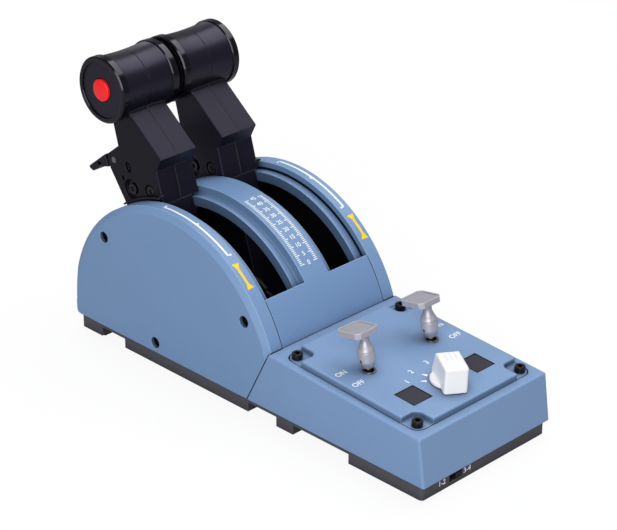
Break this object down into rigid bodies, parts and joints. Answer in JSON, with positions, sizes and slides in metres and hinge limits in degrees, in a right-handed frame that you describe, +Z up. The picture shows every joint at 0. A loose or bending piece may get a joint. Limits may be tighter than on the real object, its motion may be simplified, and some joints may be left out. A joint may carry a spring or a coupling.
{
  "type": "throttle quadrant",
  "caption": "Desktop flight-simulator throttle quadrant: paired thrust levers on a half-drum housing, with a sloping engine start panel of pull-to-unlock toggles, push buttons and a selector.",
  "frame": {"origin": "on the table, under the middle of the footprint", "axes": "+X to the user's right, +Y forward (away from the user), +Z up"},
  "size_m": [0.09, 0.248, 0.1564],
  "materials": {
    "shell_blue": "satin",
    "base_dark": "matt",
    "panel_blue": "satin",
    "lever_black": "satin",
    "grip_black": "gloss",
    "button_red": "gloss",
    "knob_white": "satin",
    "button_grey": "satin",
    "toggle_metal": "satin",
    "steel": "satin",
    "black_oxide": "satin",
    "switch_black": "matt",
    "board_green": "satin",
    "foot_rubber": "matt"
  },
  "bodies": {
    "housing": {"base_housing": "base_dark", "base_feet": "foot_rubber", "base_screws": "black_oxide", "left_side_cover": "shell_blue", "right_side_cover": "shell_blue", "centre_body": "shell_blue", "console_shell": "shell_blue", "panel_plate": "panel_blue", "panel_screws": "black_oxide", "cover_screws": "black_oxide", "shaft_carrier": "switch_black", "lever_shaft": "steel", "shaft_clips": "steel", "left_detent_sector": "switch_black", "right_detent_sector": "switch_black", "friction_washers": "switch_black", "main_board": "board_green", "panel_board": "board_green", "hall_sensors": "switch_black", "selector_encoder": "switch_black", "toggle_switches": "toggle_metal", "button_switches": "switch_black", "slide_switch": "switch_black", "rear_socket": "steel"},
    "left_lever": {"left_lever_core": "lever_black", "left_arm_outer": "lever_black", "left_arm_inner": "lever_black", "left_grip_outer": "grip_black", "left_grip_inner": "grip_black", "left_grip_rings": "grip_black", "left_grip_caps": "lever_black", "left_arm_screws": "black_oxide", "left_latch_pin": "black_oxide", "left_magnet": "steel", "left_grip_switch": "switch_black"},
    "left_latch": {"left_reverse_latch": "lever_black"},
    "left_disconnect": {"left_disconnect_button": "button_red"},
    "left_toggle": {"left_toggle_bat": "toggle_metal"},
    "left_toggle_lock": {"left_toggle_sleeve": "toggle_metal"},
    "left_button": {"left_square_button": "button_grey"},
    "right_lever": {"right_lever_core": "lever_black", "right_arm_outer": "lever_black", "right_arm_inner": "lever_black", "right_grip_outer": "grip_black", "right_grip_inner": "grip_black", "right_grip_rings": "grip_black", "right_grip_caps": "lever_black", "right_arm_screws": "black_oxide", "right_latch_pin": "black_oxide", "right_magnet": "steel", "right_grip_switch": "switch_black"},
    "right_latch": {"right_reverse_latch": "lever_black"},
    "right_disconnect": {"right_disconnect_button": "button_red"},
    "right_toggle": {"right_toggle_bat": "toggle_metal"},
    "right_toggle_lock": {"right_toggle_sleeve": "toggle_metal"},
    "right_button": {"right_square_button": "button_grey"},
    "selector": {"selector_knob": "knob_white", "selector_shaft": "steel"},
    "engine_slide": {"engine_slider": "switch_black"}
  },
  "joints": [
    {"name": "left_lever_swing", "type": "hinge", "parent": "housing", "child": "left_lever", "pos_m": [0, 0.0502, 0.0136], "axis": [1, 0, 0], "range_deg": [0, 60]},
    {"name": "left_latch_lift", "type": "hinge", "parent": "left_lever", "child": "left_latch", "pos_m": [-0.0208, 0.10328, 0.09903], "axis": [1, 0, 0], "range_deg": [0, 18], "stiffness_Nm_per_rad": 0.05, "springref_deg": -11.46},
    {"name": "left_disconnect_press", "type": "slide", "parent": "left_lever", "child": "left_disconnect", "axis": [1, 0, 0], "range_m": [0, 0.0015], "stiffness_N_per_m": 400, "springref_m": -0.001},
    {"name": "left_toggle_tilt", "type": "hinge", "parent": "housing", "child": "left_toggle", "pos_m": [-0.022, -0.06707, 0.03701], "axis": [1, 0, 0], "range_deg": [0, 27]},
    {"name": "left_toggle_pull", "type": "slide", "parent": "left_toggle", "child": "left_toggle_lock", "axis": [0, 0.1748, 0.9846], "range_m": [0, 0.0025], "stiffness_N_per_m": 600, "springref_m": -0.001},
    {"name": "left_button_press", "type": "slide", "parent": "housing", "child": "left_button", "axis": [0, 0.0599, -0.9982], "range_m": [0, 0.0008], "stiffness_N_per_m": 500, "springref_m": -0.0006},
    {"name": "right_lever_swing", "type": "hinge", "parent": "housing", "child": "right_lever", "pos_m": [0, 0.0502, 0.0136], "axis": [1, 0, 0], "range_deg": [0, 60]},
    {"name": "right_latch_lift", "type": "hinge", "parent": "right_lever", "child": "right_latch", "pos_m": [0.0208, 0.10328, 0.09903], "axis": [1, 0, 0], "range_deg": [0, 18], "stiffness_Nm_per_rad": 0.05, "springref_deg": -11.46},
    {"name": "right_disconnect_press", "type": "slide", "parent": "right_lever", "child": "right_disconnect", "axis": [-1, 0, 0], "range_m": [0, 0.0015], "stiffness_N_per_m": 400, "springref_m": -0.001},
    {"name": "right_toggle_tilt", "type": "hinge", "parent": "housing", "child": "right_toggle", "pos_m": [0.022, -0.06707, 0.03701], "axis": [1, 0, 0], "range_deg": [0, 27]},
    {"name": "right_toggle_pull", "type": "slide", "parent": "right_toggle", "child": "right_toggle_lock", "axis": [0, 0.1748, 0.9846], "range_m": [0, 0.0025], "stiffness_N_per_m": 600, "springref_m": -0.001},
    {"name": "right_button_press", "type": "slide", "parent": "housing", "child": "right_button", "axis": [0, 0.0599, -0.9982], "range_m": [0, 0.0008], "stiffness_N_per_m": 500, "springref_m": -0.0006},
    {"name": "selector_turn", "type": "hinge", "parent": "housing", "child": "selector", "pos_m": [0, -0.09759, 0.03478], "axis": [0, -0.0599, 0.9982], "range_deg": [0, 62]},
    {"name": "engine_pair_slide", "type": "slide", "parent": "housing", "child": "engine_slide", "axis": [-1, 0, 0], "range_m": [0, 0.0034]}
  ]
}
